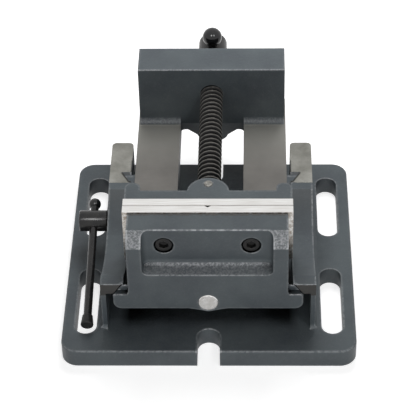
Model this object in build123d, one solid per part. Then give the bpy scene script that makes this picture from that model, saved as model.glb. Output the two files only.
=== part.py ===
from build123d import *
import math
import os

# Tilting machine vise. Millimetres, +Z up, +Y to the rear.
# The origin is the middle of the underside of the base plate.

# Base plate
base_depth = 172.0
base_thick = 12.0
base_corner = 10.0
base_edge_round = 1.2
slot_width = 13.0
slot_length = 56.0
slot_from_cheek = 3.9
slot_from_side = 7.5
slot_y = 43.0
notch_width = 13.4
notch_depth = 19.0

# Cradle: two cheeks with a concave rim and an arc dovetail groove
cheek_outer = 63.6
cheek_inner = 50.0
cheek_length = 131.0
bed_height = 47.0
tilt_y = -18.5
tilt_z = 102.0
lip_radius = 67.3
dovetail_top_radius = 72.0
dovetail_depth = 5.4
dovetail_top_half = 51.2
dovetail_spread = 4.4
dovetail_gap = 0.5
tilt_range = 45.0
pocket_wall = 3.0
pillar_corner = 3.0
foot_round = 3.0
swing_room = 2.0

# Body casting
rail_outer = 47.6
rail_gap_half = 20.5
rail_thick = 15.0
side_plate_thick = 8.0
front_y = -67.0
front_wall_thick = 8.5
toe_thick = 4.0
toe_top = 40.6
toe_height = 11.3
toe_half = 56.0
toe_corner = 5.0
jaw_half = 47.0
fixed_jaw_top = 84.0
seam_y = -38.0
plate_width = 100.0
plate_thick = 6.0
plate_top = 85.0
plate_lift = 1.0
fixed_web_thick = 14.4
recess_half = 38.3
recess_floor_rear = 58.9
recess_floor_front = 55.8
recess_corner = 4.0
brow_drop = 7.0
flange_end_drop = 1.0

# Rear block
block_front = 87.2
block_thick = 23.5
block_half = 46.8
block_top = 88.9
block_round = 0.8
block_root_round = 4.8
web_drop = 8.8
web_round = 3.0
gusset_half = 16.0
gusset_foot = 8.5
gusset_drop = 7.7
undercut_drop = 1.3
undercut_angle = 20.0

# Lead screw, its head and sliding handle
screw_z = 69.5
screw_dia = 14.5
screw_fit = 0.08
tip_dia = 12.0
tip_length = 17.8
groove_dia = 8.0
head_dia = 18.4
head_length = 29.2
head_gap = 2.3
head_bevel = 1.0
handle_dia = 6.5
handle_ball_dia = 12.6
handle_length = 76.0
handle_ball_gap = 0.1
bar_fit = 0.1

# Guide rod below the screw
rod_dia = 11.8
rod_z = 34.0
rod_fit = 0.06
rod_proud = 0.2
rod_bevel = 0.3
front_boss_radius = 7.2
front_boss_half = 11.5
saddle_half = 3.2
saddle_drop = 6.5
rear_boss_radius = 10.2
set_screw_dia = 5.0
set_screw_length = 5.6
set_screw_socket = 2.5

# Movable jaw
closed_gap = 0.1
slide_gap = 0.1
movable_half = 49.5
movable_top = 84.0
movable_wall = 8.4
rib_width = 9.2
rib_reach = 15.2
rib_round = 4.0
nose_radius = 12.5
nose_offset = 1.2
nose_bottom = 58.0
guide_gap = 0.3
guide_depth = 8.0
guide_reach = 14.0
lug_half = 12.0
lug_radius = 10.5

# Screws that hold the jaw plates
plate_screw_x = 25.5
plate_screw_z = 72.0
plate_screw_dia = 6.0
plate_screw_head_dia = 10.0
plate_screw_head_height = 6.0
plate_screw_sink = 6.3
plate_screw_stop = 1.2
plate_skin = 1.0
counterbore_dia = 11.8
socket_across = 5.0
socket_depth = 3.0
screw_gap = 0.1
vee_width = 4.4
vee_depth = 1.6

# Retaining pin over the screw tip
pin_dia = 5.2
pin_y = -17.7
pin_dome = 0.9
pin_fit = 0.05

# Lock screw, its pad and sliding bar on the left cheek
lock_angle = 20.5
lock_radius = 75.0
lock_shank_dia = 10.0
lock_head_dia = 13.2
lock_head_length = 17.6
lock_head_gap = 0.4
lock_head_bevel = 0.8
lock_pad_dia = 8.0
lock_pad_thick = 3.0
lock_bar_dia = 5.0
lock_bar_back = 12.9
lock_bar_front = 77.0
lock_bar_drop = 11.4
lock_ball_dia = 7.6
lock_flare_dia = 8.0
lock_flare_length = 7.0
lock_flare_neck = 6.2
lock_flare_round = 1.0
lock_flare_past = 1.2

# How far a cut or a hidden joint runs past the face that it meets
overrun = 1.0

# Values worked out from the sizes above
slot_x = cheek_outer + slot_from_cheek + slot_width / 2
base_width = 2 * (slot_x + slot_width / 2 + slot_from_side)
dovetail_base_radius = dovetail_top_radius + dovetail_depth
rail_bottom = bed_height - rail_thick
web_bottom = bed_height - web_drop
undercut_top = bed_height - undercut_drop
plate_bottom = bed_height + plate_lift
plate_height = plate_top - plate_bottom
fixed_plate_front = seam_y - plate_thick
web_front = fixed_plate_front - fixed_web_thick
toe_bottom = toe_top - toe_height
movable_seam = seam_y + closed_gap
movable_front = movable_seam + plate_thick
movable_back = movable_front + movable_wall
nose_y = movable_back - nose_offset
nose_end = nose_y + nose_radius
block_back = block_front + block_thick
head_front = block_back + head_gap
head_back = head_front + head_length
handle_y = head_front + head_length / 2
tip_end = nose_end - tip_length
handle_top = screw_z + head_dia / 2 + handle_ball_gap + handle_ball_dia / 2
lock_turn = math.radians(lock_angle)
lock_y = tilt_y + lock_radius * math.sin(lock_turn)
lock_z = tilt_z - lock_radius * math.cos(lock_turn)
lock_head_inner = cheek_outer + lock_head_gap
lock_bar_x = -(lock_head_inner + lock_head_length / 2)
pad_inner = dovetail_top_half + dovetail_spread + dovetail_gap


def box(x0, x1, y0, y1, z0, z1):
    """A block between two corners."""
    size = Box(x1 - x0, y1 - y0, z1 - z0)
    return Pos((x0 + x1) / 2, (y0 + y1) / 2, (z0 + z1) / 2) * size


def both_sides(shape):
    """A shape and its mirror image across the middle plane."""
    return shape + mirror(shape, about=Plane.YZ)


def along_x(radius, y, z, x0, x1):
    """A round bar along X."""
    bar = Cylinder(radius, x1 - x0, rotation=(0, 90, 0))
    return Pos((x0 + x1) / 2, y, z) * bar


def along_y(radius, x, z, y0, y1):
    """A round bar along Y."""
    bar = Cylinder(radius, y1 - y0, rotation=(90, 0, 0))
    return Pos(x, (y0 + y1) / 2, z) * bar


def along_z(radius, x, y, z0, z1):
    """A round bar along Z."""
    return Pos(x, y, (z0 + z1) / 2) * Cylinder(radius, z1 - z0)


def side_profile(points, x0, x1):
    """A solid from an outline of (y, z) points, thick along X."""
    face = make_face(Plane.YZ * Polyline(*points, close=True))
    return Pos(x0, 0, 0) * extrude(face, x1 - x0, dir=(1, 0, 0))


def front_profile(points, y0, y1):
    """A solid from an outline of (x, z) points, thick along Y."""
    face = make_face(Plane.XZ * Polyline(*points, close=True))
    return Pos(0, y0, 0) * extrude(face, y1 - y0, dir=(0, 1, 0))


def tilt_disc(radius, x0, x1):
    """A disc about the tilt axis, from x0 to x1."""
    return along_x(radius, tilt_y, tilt_z, x0, x1)


def tilt_ring(points):
    """A ring about the tilt axis from an outline of (x, radius) points."""
    outline = [(x, tilt_y, tilt_z - r) for x, r in points]
    face = make_face(Polyline(*outline, close=True))
    return revolve(face, Axis((0, tilt_y, tilt_z), (1, 0, 0)), 360)


def edges_near(part, axis, places, reach=0.6):
    """The edges of a part along an axis whose middles lie near the given places."""
    found = []
    for edge in part.edges().filter_by(axis):
        middle = edge.center()
        for place in places:
            if all(abs(getattr(middle, letter) - value) < reach for letter, value in place.items()):
                found.append(edge)
    return found


def upright_edges(part, points):
    """The upright edges of a part that pass near the given (x, y) points."""
    return edges_near(part, Axis.Z, [{"X": x, "Y": y} for x, y in points])


def base_plate():
    """The plate with four slots and two notches for hold-down bolts."""
    outline = RectangleRounded(base_width, base_depth, base_corner)
    plate = extrude(outline, base_thick)
    rim = plate.faces().sort_by(Axis.Z)[-1].edges()
    plate = fillet(rim, base_edge_round)
    slot = extrude(SlotOverall(slot_length, slot_width, rotation=90), 2 * base_thick)
    for x in (-slot_x, slot_x):
        for y in (-slot_y, slot_y):
            plate -= Pos(x, y, -base_thick / 2) * slot
    radius = notch_width / 2
    for side in (-1, 1):
        middle = side * (base_depth / 2 - notch_depth + radius)
        edge = side * (base_depth / 2 + radius)
        low, high = min(middle, edge), max(middle, edge)
        plate -= box(-radius, radius, low, high, -overrun, base_thick + overrun)
        plate -= along_z(radius, 0, middle, -overrun, base_thick + overrun)
    return plate


def cheek_blank():
    """The right-hand cheek before its rim and groove are cut."""
    half = cheek_length / 2
    blank = box(cheek_inner, cheek_outer, -half, half, base_thick / 2, bed_height)
    return fillet(upright_edges(blank, [(cheek_inner, half), (cheek_outer, half)]), pillar_corner)


def foot_edges(casting):
    """The edges along which the cheeks meet the top of the base plate."""
    found = []
    reach = cheek_length / 2 + overrun
    for edge in casting.edges():
        span = edge.bounding_box()
        flat = abs(span.min.Z - base_thick) < 0.01 and abs(span.max.Z - base_thick) < 0.01
        middle = edge.center()
        near = cheek_inner - overrun < abs(middle.X) < cheek_outer + overrun
        if flat and near and abs(middle.Y) < reach:
            found.append(edge)
    return found


def cradle_cuts():
    """What is cut from the right-hand cheek: the rim, the dovetail groove and the toe pocket."""
    under = dovetail_base_radius + dovetail_gap
    reach = dovetail_top_half + dovetail_spread + dovetail_gap
    inside = cheek_inner - foot_round - overrun
    rim = tilt_disc(lip_radius, inside, cheek_outer + overrun)
    groove = tilt_ring([
        (inside, dovetail_top_radius),
        (dovetail_top_half, dovetail_top_radius),
        (reach, under),
        (inside, under),
    ])
    toe_back = tilt_y - front_y - toe_thick
    toe_reach = math.hypot(toe_back, tilt_z - toe_bottom)
    swing = math.radians(tilt_range) - math.atan2(toe_back, tilt_z - toe_bottom)
    pocket_end = tilt_y + toe_reach * math.sin(swing) + swing_room
    pocket_front = -cheek_length / 2 - foot_round - overrun
    pocket = box(inside, cheek_outer - pocket_wall, pocket_front, pocket_end, base_thick, bed_height)
    pocket -= tilt_disc(under, inside - overrun, cheek_outer)
    return rim + groove + pocket


def make_base_casting():
    casting = base_plate() + both_sides(cheek_blank())
    casting = fillet(foot_edges(casting), foot_round) - both_sides(cradle_cuts())
    bore = lock_shank_dia / 2 + screw_fit
    return casting - along_x(bore, lock_y, lock_z, -cheek_outer - overrun, -cheek_inner + overrun)


def arc_flanges():
    """Side plates under the rails, with the dovetail flange along their lower edge."""
    inner = rail_outer - side_plate_thick
    plate = tilt_disc(dovetail_base_radius, inner, rail_outer)
    top = dovetail_top_radius + dovetail_gap
    flange = tilt_ring([
        (inner, top),
        (dovetail_top_half - dovetail_gap, top),
        (dovetail_top_half + dovetail_spread - dovetail_gap, dovetail_base_radius),
        (inner, dovetail_base_radius),
    ])
    reach = dovetail_base_radius
    keep = box(0, cheek_outer, front_y + toe_thick, tilt_y + reach, 0, bed_height - flange_end_drop)
    return (plate + flange) & keep


def rim_sweep():
    """The space that the cradle's rim takes from the body as it tilts, with the running gap."""
    inner = dovetail_top_half - dovetail_gap
    outer = cheek_outer + overrun
    low = dovetail_base_radius + 2 * dovetail_gap
    return tilt_ring([
        (inner, lip_radius),
        (inner, dovetail_top_radius + dovetail_gap),
        (inner + dovetail_spread + 2 * dovetail_gap, low),
        (outer, low),
        (outer, lip_radius),
    ])


def fixed_jaw():
    """The upright at the front: a web, two side ribs with sloping brows and a sill."""
    depth_line = fixed_jaw_top - brow_drop
    solid = side_profile([
        (fixed_plate_front, rail_bottom),
        (fixed_plate_front, fixed_jaw_top),
        (web_front, fixed_jaw_top),
        (front_y, depth_line),
        (front_y, rail_bottom),
    ], -jaw_half, jaw_half)
    recess = side_profile([
        (web_front, fixed_jaw_top + overrun),
        (web_front, recess_floor_rear),
        (front_y - overrun, recess_floor_front),
        (front_y - overrun, fixed_jaw_top + overrun),
    ], -recess_half, recess_half)
    inner = [edge for edge in recess.edges() if web_front + 0.01 > edge.center().Y > front_y
             and edge.center().Z < fixed_jaw_top]
    return solid - fillet(inner, recess_corner)


def front_toe():
    """The lower front wall, whose ends trap the body under the cradle's rim."""
    wall = box(-rail_outer, rail_outer, front_y, front_y + front_wall_thick, toe_bottom, fixed_jaw_top / 2)
    toe = box(-toe_half, toe_half, front_y, front_y + toe_thick, toe_bottom, toe_top)
    low_edges = toe.edges().filter_by(Axis.Y).group_by(Axis.Z)[0]
    toe = fillet(low_edges, toe_corner) - both_sides(rim_sweep())
    back = front_y + front_wall_thick
    boss = along_y(front_boss_radius, 0, rod_z, front_y, back)
    fall = rod_z - saddle_drop
    saddle = front_profile([
        (-front_boss_half, toe_bottom + overrun),
        (-front_boss_half, toe_bottom),
        (-saddle_half, fall),
        (saddle_half, fall),
        (front_boss_half, toe_bottom),
        (front_boss_half, toe_bottom + overrun),
    ], front_y, back)
    return wall + toe + boss + saddle


def rear_block():
    """The block that holds the nut thread, with a boss below for the guide rod."""
    block = box(-block_half, block_half, block_front, block_back, web_bottom, block_top)
    top_edges = block.faces().sort_by(Axis.Z)[-1].edges()
    block = fillet(top_edges, block_round)
    boss = along_y(rear_boss_radius, 0, rod_z, block_front, block_back)
    gusset = front_profile([
        (-gusset_half, web_bottom + overrun),
        (-gusset_half, web_bottom),
        (-gusset_foot, web_bottom - gusset_drop),
        (gusset_foot, web_bottom - gusset_drop),
        (gusset_half, web_bottom),
        (gusset_half, web_bottom + overrun),
    ], block_front, block_back)
    low = rod_z - rear_boss_radius - overrun
    back = block_front + (undercut_top - low) * math.tan(math.radians(undercut_angle))
    undercut = side_profile([
        (block_front - overrun, undercut_top),
        (block_front, undercut_top),
        (back, low),
        (block_front - overrun, low),
    ], -rail_gap_half, rail_gap_half)
    return block + boss + gusset - undercut


def make_body_casting():
    rail = box(rail_gap_half, rail_outer, web_front, block_back, rail_bottom, bed_height)
    body = both_sides(rail) + both_sides(arc_flanges()) + fixed_jaw() + front_toe() + rear_block()
    roots = edges_near(body, Axis.X, [{"Y": block_front, "Z": bed_height}])
    body = fillet(roots, block_root_round)
    web_ends = [{"X": x, "Z": web_bottom} for x in (-rail_gap_half, rail_gap_half)]
    body = fillet(edges_near(body, Axis.Y, web_ends), web_round)
    body -= along_y(screw_dia / 2 + screw_fit, 0, screw_z, block_front - overrun, block_back + overrun)
    body -= along_y(rod_dia / 2 + rod_fit, 0, rod_z, front_y - overrun, block_back + overrun)
    for x in (-plate_screw_x, plate_screw_x):
        seat = web_front + plate_screw_sink
        hole = plate_screw_dia / 2 + screw_gap
        body -= along_y(counterbore_dia / 2, x, plate_screw_z, web_front - overrun, seat)
        body -= along_y(hole, x, plate_screw_z, seat - overrun, fixed_plate_front + overrun)
    grub_y = (block_front + block_back) / 2
    bore_bottom = rod_z - rod_dia / 2 - rod_fit
    hole = set_screw_dia / 2 + screw_gap
    body -= along_z(hole, 0, grub_y, rod_z - rear_boss_radius - overrun, bore_bottom + overrun)
    return body


def jaw_plate(face_y, back_y):
    """A hardened plate with two threaded holes in its back."""
    low, high = min(face_y, back_y), max(face_y, back_y)
    half = plate_width / 2
    plate = box(-half, half, low, high, plate_bottom, plate_top)
    inward = 1 if back_y > face_y else -1
    for x in (-plate_screw_x, plate_screw_x):
        hole_end = back_y - inward * (plate_thick - plate_skin)
        hole_start = back_y + inward * overrun
        a, b = min(hole_start, hole_end), max(hole_start, hole_end)
        plate -= along_y(plate_screw_dia / 2, x, plate_screw_z, a, b)
    return plate


def make_fixed_plate():
    """The fixed jaw's plate, with an upright vee groove in the middle of its face."""
    half = vee_width / 2
    vee = make_face(Polyline((-half, seam_y), (half, seam_y), (0, seam_y - vee_depth), close=True))
    groove = extrude(vee, plate_height + 2 * overrun, dir=(0, 0, 1))
    return jaw_plate(seam_y, fixed_plate_front) - Pos(0, 0, plate_bottom - overrun) * groove


def cap_screw(x, z, seat_y, end_y):
    """A socket-head screw along Y, with its head on the side away from end_y."""
    way = 1 if end_y > seat_y else -1
    head_end = seat_y - way * plate_screw_head_height
    head = along_y(plate_screw_head_dia / 2, x, z, min(seat_y, head_end), max(seat_y, head_end))
    shank = along_y(plate_screw_dia / 2, x, z, min(seat_y, end_y), max(seat_y, end_y))
    hexagon = Plane.XZ * RegularPolygon(socket_across / 2, 6, major_radius=False)
    socket = Pos(x, head_end, z) * extrude(hexagon, socket_depth, dir=(0, way, 0))
    return head + shank - socket


def plate_screws(seat_y, end_y):
    pair = [cap_screw(x, plate_screw_z, seat_y, end_y) for x in (-plate_screw_x, plate_screw_x)]
    return Compound(children=pair)


def make_movable_jaw():
    """The sliding jaw: a wall, end ribs, a rounded nose for the screw and a lug for the rod."""
    foot = bed_height + slide_gap
    wall = box(-movable_half, movable_half, movable_front, movable_back, foot, movable_top)
    rib_end = movable_front + rib_reach
    rib_inner = movable_half - rib_width
    rib = box(rib_inner, movable_half, movable_back - overrun, rib_end, foot, movable_top)
    rib = fillet(upright_edges(rib, [(rib_inner, rib_end), (movable_half, rib_end)]), rib_round)
    nose = along_z(nose_radius, 0, nose_y, nose_bottom, movable_top)
    nose &= box(-nose_radius, nose_radius, movable_front, nose_end, nose_bottom, movable_top)
    guide_half = rail_gap_half - guide_gap
    guide_end = movable_front + guide_reach
    guide = box(-guide_half, guide_half, movable_front, guide_end, foot - guide_depth, foot + overrun)
    pillar = box(-lug_half, lug_half, movable_front, nose_end, rod_z, nose_bottom + overrun)
    lug = along_y(lug_radius, 0, rod_z, movable_front, nose_end)
    jaw = wall + both_sides(rib) + nose + guide + pillar + lug
    jaw -= along_y(tip_dia / 2 + screw_fit, 0, screw_z, tip_end - slide_gap, nose_end + overrun)
    jaw -= along_y(rod_dia / 2 + rod_fit, 0, rod_z, movable_front - overrun, nose_end + overrun)
    jaw -= along_z(pin_dia / 2 + pin_fit, 0, pin_y, screw_z, movable_top + overrun)
    for x in (-plate_screw_x, plate_screw_x):
        seat = movable_back - plate_screw_sink
        hole = plate_screw_dia / 2 + screw_gap
        jaw -= along_y(counterbore_dia / 2, x, plate_screw_z, seat, movable_back + overrun)
        jaw -= along_y(hole, x, plate_screw_z, movable_front - overrun, seat + overrun)
    return jaw


def make_lead_screw():
    thread_start = nose_end + slide_gap
    tip = along_y(tip_dia / 2, 0, screw_z, tip_end, thread_start + overrun)
    groove_half = pin_dia / 2 + slide_gap
    groove = along_y(tip_dia, 0, screw_z, pin_y - groove_half, pin_y + groove_half)
    core_half = groove_half + overrun
    groove -= along_y(groove_dia / 2, 0, screw_z, pin_y - core_half, pin_y + core_half)
    thread = along_y(screw_dia / 2, 0, screw_z, thread_start, head_front + overrun)
    head = along_y(head_dia / 2, 0, screw_z, head_front, head_back)
    head = chamfer(head.edges().filter_by(GeomType.CIRCLE), head_bevel)
    screw = tip - groove + thread + head
    return screw - along_z(handle_dia / 2 + bar_fit, 0, handle_y, screw_z - head_dia, screw_z + head_dia)


def make_retaining_pin():
    """A round pin from the top of the nose into the groove of the screw tip."""
    low = screw_z + groove_dia / 2 + slide_gap
    pin = along_z(pin_dia / 2, 0, pin_y, low, movable_top + pin_dome)
    return fillet(pin.edges().group_by(Axis.Z)[-1], pin_dome)


def make_handle_bar():
    return along_z(handle_dia / 2, 0, handle_y, handle_top - handle_length, handle_top)


def handle_ball(z):
    """A ball bored for the end of the handle bar."""
    ball = Pos(0, handle_y, z) * Sphere(handle_ball_dia / 2)
    return ball - make_handle_bar()


def make_guide_rod():
    rod = along_y(rod_dia / 2, 0, rod_z, front_y - rod_proud, block_back)
    return chamfer(rod.edges().filter_by(GeomType.CIRCLE), rod_bevel)


def make_set_screw():
    """The grub screw that holds the guide rod in the rear boss."""
    top = rod_z - rod_dia / 2
    y = (block_front + block_back) / 2
    grub = along_z(set_screw_dia / 2, 0, y, top - set_screw_length, top)
    hexagon = RegularPolygon(set_screw_dia / 4, 6, major_radius=False)
    socket = Pos(0, y, top - set_screw_length) * extrude(hexagon, set_screw_socket)
    return grub - socket


def lock_bar_frame(distance):
    """The place on the lock bar at a distance behind the lock screw's axis."""
    drop = math.radians(lock_bar_drop)
    y = lock_y + distance * math.cos(drop)
    z = lock_z + distance * math.sin(drop)
    return Pos(lock_bar_x, y, z) * Rot(lock_bar_drop, 0, 0)


def lock_bar_solid(radius, near, far):
    """A round solid along the lock bar, between two distances."""
    bar = Cylinder(radius, far - near, rotation=(90, 0, 0))
    return lock_bar_frame((near + far) / 2) * bar


def make_lock_screw():
    head_outer = lock_head_inner + lock_head_length
    head = along_x(lock_head_dia / 2, lock_y, lock_z, -head_outer, -lock_head_inner)
    head = chamfer(head.edges().filter_by(GeomType.CIRCLE), lock_head_bevel)
    shank_end = pad_inner + lock_pad_thick + slide_gap
    shank = along_x(lock_shank_dia / 2, lock_y, lock_z, -lock_head_inner - overrun, -shank_end)
    return head + shank - lock_bar_solid(lock_bar_dia / 2 + bar_fit, -lock_head_dia, lock_head_dia)


def make_lock_pad():
    outer = pad_inner + lock_pad_thick
    return along_x(lock_pad_dia / 2, lock_y, lock_z, -outer, -pad_inner)


def make_lock_bar():
    return lock_bar_solid(lock_bar_dia / 2, -lock_bar_front, lock_bar_back)


def make_lock_ball():
    ball = lock_bar_frame(lock_bar_back) * Sphere(lock_ball_dia / 2)
    return ball - make_lock_bar()


def make_lock_flare():
    """The bell-shaped end that keeps the bar from sliding out."""
    cone = Cone(lock_flare_dia / 2, lock_flare_neck / 2, lock_flare_length, rotation=(-90, 0, 0))
    cone = fillet(cone.edges().sort_by(Axis.Y)[0], lock_flare_round)
    middle = lock_flare_length / 2 - lock_bar_front - lock_flare_past
    return lock_bar_frame(middle) * cone - make_lock_bar()


fixed_seat = web_front + plate_screw_sink
movable_seat = movable_back - plate_screw_sink
thread_in_plate = plate_thick - plate_screw_stop

nodes = {
    "base_casting": make_base_casting(),
    "body_casting": make_body_casting(),
    "fixed_jaw_plate": make_fixed_plate(),
    "fixed_jaw_screws": plate_screws(fixed_seat, fixed_plate_front + thread_in_plate),
    "movable_jaw": make_movable_jaw(),
    "movable_jaw_plate": jaw_plate(movable_seam, movable_front),
    "movable_jaw_screws": plate_screws(movable_seat, movable_front - thread_in_plate),
    "lead_screw": make_lead_screw(),
    "screw_retaining_pin": make_retaining_pin(),
    "handle_bar": make_handle_bar(),
    "handle_ball_upper": handle_ball(handle_top),
    "handle_ball_lower": handle_ball(handle_top - handle_length),
    "guide_rod": make_guide_rod(),
    "guide_rod_set_screw": make_set_screw(),
    "lock_screw": make_lock_screw(),
    "lock_pad": make_lock_pad(),
    "lock_bar": make_lock_bar(),
    "lock_bar_ball": make_lock_ball(),
    "lock_bar_flare": make_lock_flare(),
}

os.makedirs("parts", exist_ok=True)
for name, shape in nodes.items():
    export_step(shape, f"parts/{name}.step")
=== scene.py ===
import math

import bmesh
import bpy
from mathutils import Matrix, Vector


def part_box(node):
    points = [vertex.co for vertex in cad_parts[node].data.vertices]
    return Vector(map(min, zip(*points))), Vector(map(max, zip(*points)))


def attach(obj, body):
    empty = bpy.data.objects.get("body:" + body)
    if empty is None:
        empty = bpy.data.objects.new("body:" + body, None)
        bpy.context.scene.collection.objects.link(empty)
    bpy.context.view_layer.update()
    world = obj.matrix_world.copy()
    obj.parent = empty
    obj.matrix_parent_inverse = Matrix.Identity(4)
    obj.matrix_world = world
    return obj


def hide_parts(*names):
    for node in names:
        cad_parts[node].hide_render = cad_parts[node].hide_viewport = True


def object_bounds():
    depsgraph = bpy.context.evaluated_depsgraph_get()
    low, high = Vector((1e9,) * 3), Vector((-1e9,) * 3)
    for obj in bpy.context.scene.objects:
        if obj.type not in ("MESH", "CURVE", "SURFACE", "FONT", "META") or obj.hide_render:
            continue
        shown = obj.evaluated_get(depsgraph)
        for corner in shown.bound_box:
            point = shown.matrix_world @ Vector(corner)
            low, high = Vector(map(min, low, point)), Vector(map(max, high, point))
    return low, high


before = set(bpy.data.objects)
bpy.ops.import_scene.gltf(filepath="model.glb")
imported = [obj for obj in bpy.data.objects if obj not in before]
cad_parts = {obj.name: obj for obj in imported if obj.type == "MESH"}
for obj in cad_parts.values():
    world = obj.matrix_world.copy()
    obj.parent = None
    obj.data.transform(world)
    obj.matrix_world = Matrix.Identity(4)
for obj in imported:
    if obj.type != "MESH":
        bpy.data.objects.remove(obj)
cad_low, cad_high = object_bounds()

# Lengths are in metres and angles in degrees. Where a piece is seated on another,
# its place is read from the CAD parts in model.glb.
MM = 0.001
TURN = 2 * math.pi

# Camera, fitted to the picture
camera_place = Vector((26.985, -816.456, 775.675)) * MM
camera_yaw = 1.97
camera_pitch = -41.645
camera_roll = -1.373
camera_lens = 154.27
sensor_width = 36.0
camera_near = 0.01
camera_far = 100

# Sky and floor: what lights the vise, and what is seen directly
sky_strength = 0.025
sky_seen = 1.0
floor_bounce = 0.5
floor_seen = 0.7
floor_glow = 0.72
floor_half = 6.0
floor_drop = 0.2 * MM

# Lamps; a direction is the turn from the front and the rise from the table
key_place = (0.03, 0.23, 0.40)
key_power = 1.45
key_size = 0.25
fill_place = (0.0, -0.65, 0.25)
fill_power = 1.8
fill_size = 0.5
spot_distance = 1.3
spot_power = 1.7
spot_size = 0.17
glint_power = 3.6
glint_size = 0.34
left_direction = (-17, 60)
right_direction = (41, 57)

# Lead screw
screw_pitch = 4.0 * MM
thread_depth = 1.9 * MM
crest_radius = 7.25 * MM
flank_share = (0.13, 0.36)
thread_columns = 56
rows_per_pitch = 12
end_row = 0.4999
thread_start = 0.1 * MM
thread_overrun = 0.4 * MM
tip_overrun = 0.3 * MM
tip_radius = 6.0 * MM
tip_chamfer = 0.5 * MM
groove_radius = 4.0 * MM
groove_half = 2.7 * MM
head_chamfer = 1.0 * MM
head_clear = 0.1 * MM
bar_hole_radius = 3.35 * MM

# Lock screw
lock_head_chamfer = 0.8 * MM
lock_shank_radius = 5.0 * MM
lock_hole_radius = 2.6 * MM
lock_bar_drop = 11.4

# Handle balls: where the bar enters
ball_neck = 4.4 * MM

# Socket screws of the jaw plates
plate_screw_head = 6.0 * MM
plate_screw_shank = 3.0 * MM
plate_screw_bevel = 0.45 * MM
knurl_count = 36
knurl_height = 0.16 * MM
socket_across = 5.0 * MM
socket_depth = 3.0 * MM
socket_lead = 0.35 * MM
socket_mouth = 1.22
drill_point = 0.5
points_per_knurl = 4

# Rounding of edges on castings and jaw plates
casting_round = 0.7 * MM
plate_round = 0.25 * MM
round_steps = 3
round_from_angle = 40

# Meshes: joining of loose points, smooth shading and the fineness of round pieces
weld_distance = 0.002 * MM
flat_angle = 0.5
smooth_angle = 38.0
crisp_angle = 30.0
hole_segments = 40
round_segments = 64
head_segments = 72
ball_steps = 28
corner_steps = 4
corner_margin = 1.2

# How far a face is turned to an axis, from -1 to 1, to count as one of these
square_on = 0.8
plate_end_on = 0.7
shaded_rise = 0.5
brow_rise = (0.45, 0.9)
brow_lean = -0.4
sill_rise = 0.3
rim_lean = -0.12

# Places on the castings where the finish changes, and where painted light and painted shade are
# laid on
way_level = (46.8 * MM, 47.2 * MM)
way_span = (20.0 * MM, 47.8 * MM)
way_front = -60.0 * MM
way_painted_light = (40.0 * MM, 80.0 * MM)
cheek_level = 46.0 * MM
milled_front = 27.0 * MM
milled_ragged = 1.2 * MM
strip_foot = 39.0 * MM
strip_back = -64.0 * MM
dovetail_edge = 1.2 * MM
dovetail_reach = 58.5 * MM
dovetail_span = (20.0 * MM, 48.0 * MM)
brow_foot = 75.0 * MM
sill_reach = 37.5 * MM
sill_height = (55.5 * MM, 59.4 * MM)
sill_back = -57.0 * MM
sill_wall = (-62.5 * MM, -60.5 * MM)
root_height = (47.3 * MM, 51.5 * MM)
root_span = (80.0 * MM, 87.0 * MM)
plate_line = (-45.8 * MM, -43.6 * MM)
plate_line_foot = 80.0 * MM
rim_height = (33.0 * MM, 43.0 * MM)
rim_front = -62.0 * MM
pocket_height = (12.5 * MM, 38.0 * MM)
pocket_reach = 63.0 * MM
pocket_back = -50.0 * MM

# How far wear, the painted edge highlight and painted shade reach, and where along X and Y they
# start and are full; the last two are depths below a thread's crest
edge_width = 1.7 * MM
edge_round = 1.2 * MM
edge_highlight_from_y = (-20.0 * MM, -40.0 * MM)
gap_reach = 2.2 * MM
shade_reach = 30.0 * MM
shade_from_y = (-25.0 * MM, -40.0 * MM)
shade_from_x = (54.0 * MM, 48.0 * MM)
seam_half = 0.5 * MM
oxide_edge = 0.5 * MM
crest_worn = (0.25 * MM, 0.05 * MM)
hollow_dull = (0.6 * MM, 1.6 * MM)

# Tool marks, in lumps to the metre along X, Y and Z, and turning rings, in radians to the metre
way_marks = (90.0, 2600.0, 900.0)
plate_marks = (60.0, 3000.0, 60.0)
rod_marks = (400.0, 2500.0, 400.0)
scratch_marks = (500.0, 3000.0, 3000.0)
ring_phase = 16000.0

# Where one shade passes into another, as two levels of a noise
even_split = (0.35, 0.65)
wide_split = (0.3, 0.7)
late_split = (0.35, 0.7)
high_split = (0.4, 0.7)
speck_split = (0.55, 0.75)
pit_split = (0.6, 0.75)
patch_split = (0.44, 0.6)
stain_split = (0.36, 0.6)
dirt_split = (0.4, 0.55)
chip_and_highlight_split = (0.4, 0.56)

# Least and most share of a finish, of painted light and of painted shade, where each shows
sill_share = (0.3, 0.7)
patch_share = (0.15, 1.0)
chip_and_highlight_share = (0.25, 0.95)
brow_share = 0.8
root_share = 0.25
dirt_share = 0.8
rim_shade_share = 0.42

# Shares of open sky, and turns of a rounded edge, where an effect starts and is full
edge_sky = (0.9, 0.62)
gap_sky = (0.5, 0.12)
shade_sky = (0.62, 0.42)
forward_and_up = (0, -0.62, 0.78)
lit_turn = (0.1, 0.4)
bright_turn = (0.7, 0.93)
dull_edge = 0.14
sky_samples = 8
edge_samples = 6
fine_samples = 4

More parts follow.
